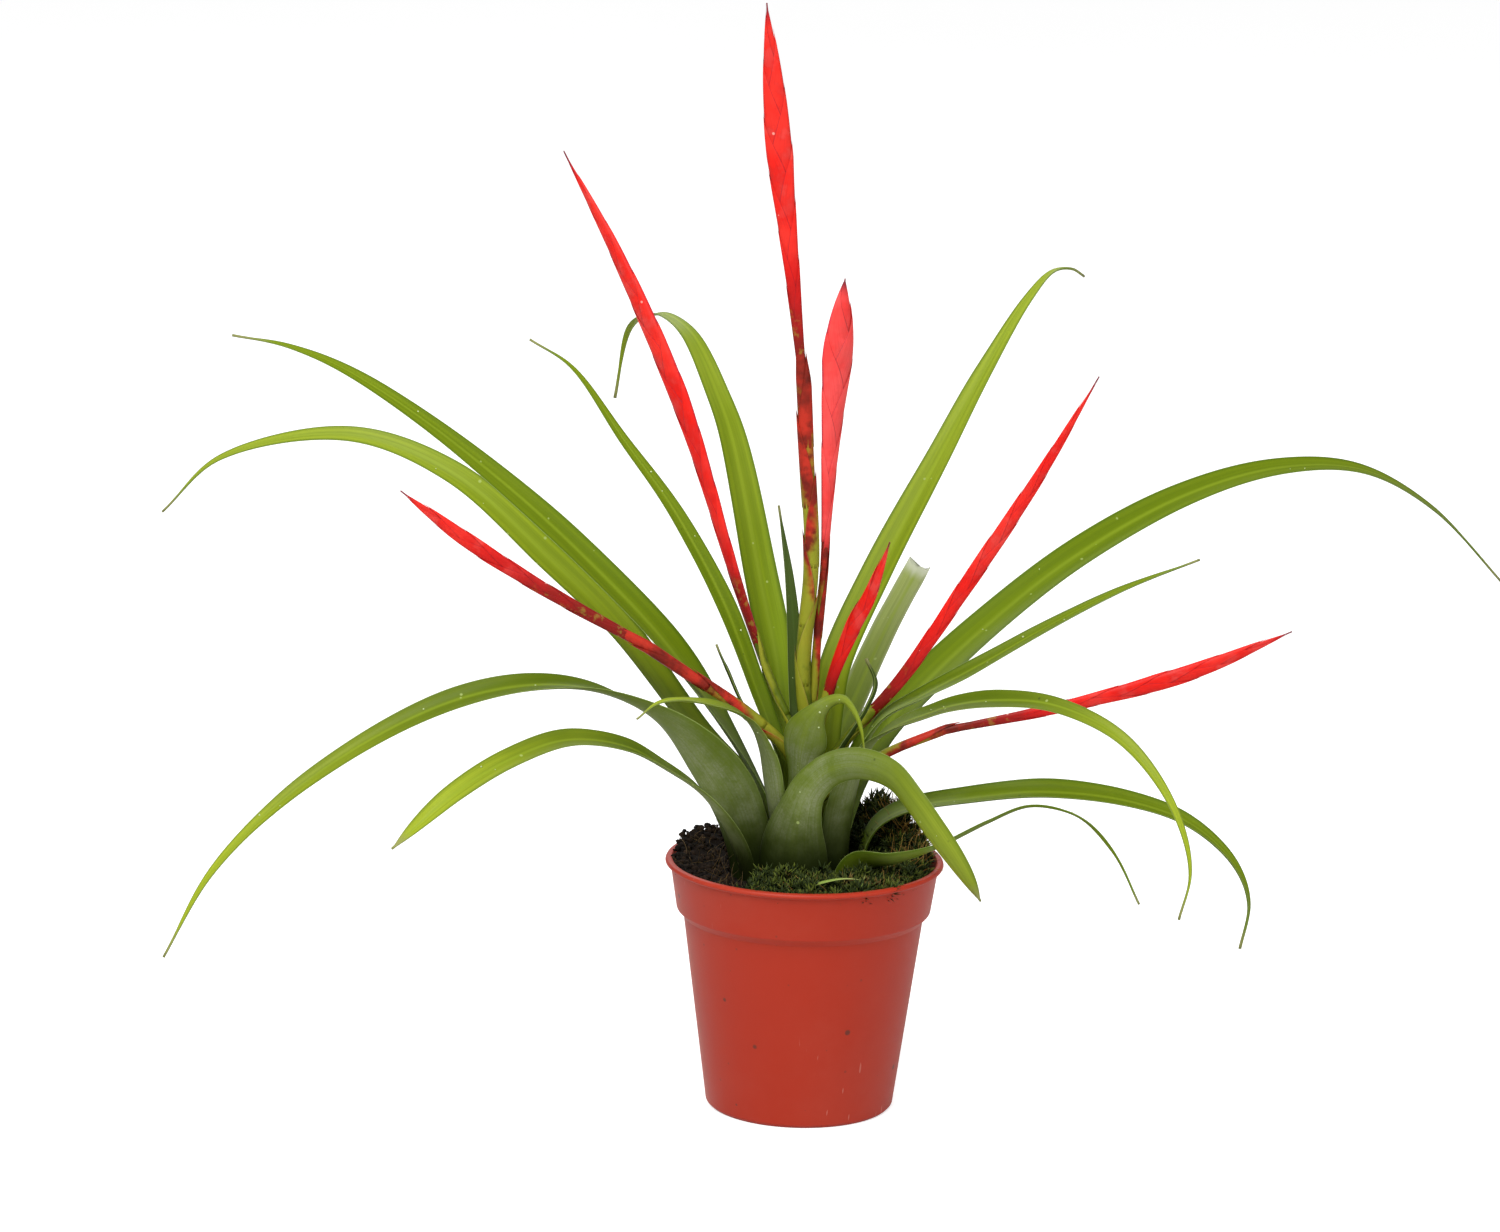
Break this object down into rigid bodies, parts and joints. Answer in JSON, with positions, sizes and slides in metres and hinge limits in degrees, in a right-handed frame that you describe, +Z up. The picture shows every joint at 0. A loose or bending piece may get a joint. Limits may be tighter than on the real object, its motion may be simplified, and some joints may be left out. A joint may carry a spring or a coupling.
{
  "type": "potted tillandsia flabellata",
  "caption": "Bromeliad in a thin round plastic pot: a rosette of arching channelled leaves with a fan of flat scarlet flower spikes, moss on the soil.",
  "frame": {"origin": "centre of the underside of the pot's base", "axes": "+Z up along the pot's axis, -Y towards the viewer, +X to the viewer's right"},
  "size_m": [0.4538, 0.2779, 0.3591],
  "materials": {
    "pot": "satin",
    "soil": "matte",
    "leaf": "satin",
    "bract": "satin",
    "scape": "satin",
    "moss": "matte"
  },
  "bodies": {
    "root": {"leaf_left_straight": "leaf", "leaf_left_arched": "leaf", "leaf_left_drooping": "leaf", "leaf_left_low": "leaf", "leaf_left_inner": "leaf", "leaf_back_left": "leaf", "leaf_back_inner": "leaf", "leaf_left_bud": "leaf", "leaf_left_curl": "leaf", "leaf_front": "leaf", "leaf_front_inner": "leaf", "leaf_right_upper": "leaf", "leaf_right_cut": "leaf", "leaf_right_arched": "leaf", "leaf_right_thin": "leaf", "leaf_right_front": "leaf", "leaf_right_curl": "leaf", "leaf_right_low": "leaf", "leaf_right_wiry": "leaf", "spike_tall": "bract", "spike_left_long": "bract", "spike_right_short": "bract", "spike_left_low": "bract", "spike_right_stub": "bract", "spike_right_slim": "bract", "spike_right_low": "bract", "scape": "scape", "pot": "pot", "soil": "soil", "moss": "moss"}
  },
  "joints": []
}
